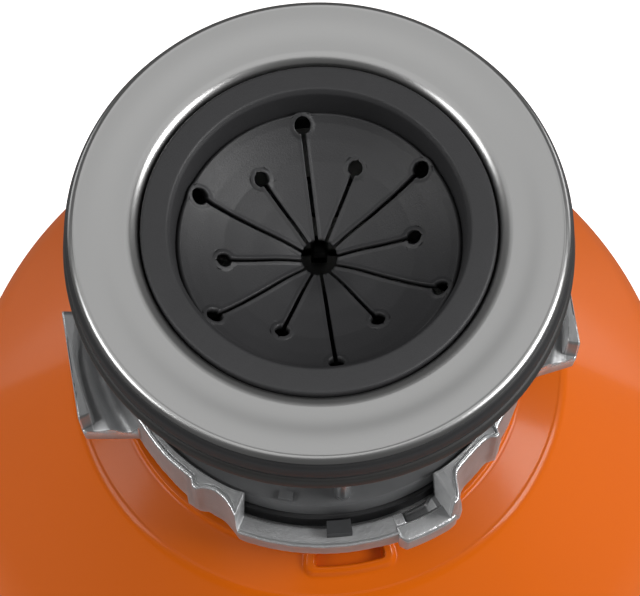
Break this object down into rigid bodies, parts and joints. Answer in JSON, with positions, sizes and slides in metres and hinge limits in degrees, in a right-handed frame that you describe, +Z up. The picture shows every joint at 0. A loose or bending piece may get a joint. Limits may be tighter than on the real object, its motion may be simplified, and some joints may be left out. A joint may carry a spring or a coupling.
{
  "type": "food waste disposer",
  "caption": "Under-sink food waste disposer with a steel sink flange, slotted rubber baffle, cast quick-lock ring, glossy orange shells, grinding turntable and induction motor.",
  "frame": {"origin": "centre of the base's flat underside, on the motor and throat axis", "axes": "+Z up along the throat and motor axis, -Y towards the discharge elbow, +Y along the dishwasher inlet"},
  "size_m": [0.208, 0.296, 0.3499],
  "materials": {
    "flange_steel": "satin, fine circular brushing",
    "black_rubber": "matte",
    "fibre": "matte",
    "baffle_rubber": "fine leather grain",
    "mount_steel": "smooth satin grey",
    "zinc_steel": "bright zinc plate",
    "spring_steel": "satin",
    "cast_alloy": "rough as cast with polished edges",
    "chamber_alloy": "as cast",
    "stainless": "satin",
    "bronze": "oil-soaked sintered bronze",
    "orange_plastic": "high gloss orange",
    "black_plastic": "matte",
    "elbow_plastic": "semi-matte",
    "lamination": "varnished laminations",
    "copper": "varnished copper wire",
    "can_steel": "semi-gloss black",
    "cage_alloy": "die cast",
    "foam": "open cell foam",
    "red_plastic": "gloss red",
    "grey_plastic": "matte",
    "green_screw": "green plate"
  },
  "bodies": {
    "housing": {"sink_flange": "flange_steel", "flange_gasket": "black_rubber", "lower_gasket": "fibre", "backup_ring": "mount_steel", "mounting_ring": "mount_steel", "mounting_screws": "zinc_steel", "snap_ring": "spring_steel", "mount_cushion": "black_rubber", "upper_chamber": "chamber_alloy", "knockout_plug": "black_plastic", "chamber_seal": "black_rubber", "grind_ring": "stainless", "drain_chamber": "chamber_alloy", "shaft_seal": "black_rubber", "upper_bearing": "bronze", "discharge_gasket": "black_rubber", "discharge_elbow": "elbow_plastic", "discharge_plate": "zinc_steel", "discharge_bolts": "zinc_steel", "stator_core": "lamination", "stator_windings": "copper", "motor_can": "can_steel", "lower_end_frame": "chamber_alloy", "lower_bearing": "bronze", "thrust_disc": "spring_steel", "through_bolts": "zinc_steel", "start_capacitor": "can_steel", "capacitor_strap": "zinc_steel", "start_relay": "grey_plastic", "overload_protector": "black_plastic", "ground_screw": "green_screw", "upper_shell": "orange_plastic", "lower_shell": "orange_plastic", "sound_liner": "foam", "base_cap": "black_plastic", "base_screws": "zinc_steel", "wiring_cover": "zinc_steel", "cord_bushing": "black_plastic"},
    "lock": {"lock_ring": "cast_alloy", "detent_block": "grey_plastic"},
    "baffle": {"splash_baffle": "baffle_rubber"},
    "rotor": {"motor_shaft": "stainless", "rotor_core": "lamination", "rotor_cage": "cage_alloy", "turntable": "stainless", "turntable_nut": "stainless", "lug_rivets": "stainless", "slinger": "black_rubber"},
    "lug_a": {"swivel_lug_a": "stainless"},
    "lug_b": {"swivel_lug_b": "stainless"},
    "button": {"reset_button": "red_plastic"}
  },
  "joints": [
    {"name": "lock_turn", "type": "hinge", "parent": "housing", "child": "lock", "pos_m": [0, 0, 0.279], "axis": [0, 0, 1], "range_deg": [-60, 0]},
    {"name": "baffle_lift", "type": "slide", "parent": "housing", "child": "baffle", "axis": [0, 0, 1], "range_m": [0, 0.06]},
    {"name": "rotor_spin", "type": "hinge", "parent": "housing", "child": "rotor", "pos_m": [0, 0, 0.1], "axis": [0, 0, 1], "continuous": true},
    {"name": "lug_a_swing", "type": "hinge", "parent": "rotor", "child": "lug_a", "pos_m": [0.04485, 0, 0.17], "axis": [0, 0, 1], "continuous": true},
    {"name": "lug_b_swing", "type": "hinge", "parent": "rotor", "child": "lug_b", "pos_m": [-0.04485, 0, 0.17], "axis": [0, 0, 1], "continuous": true},
    {"name": "reset_press", "type": "slide", "parent": "housing", "child": "button", "axis": [0, 0, 1], "range_m": [0, 0.002], "stiffness_N_per_m": 400}
  ]
}
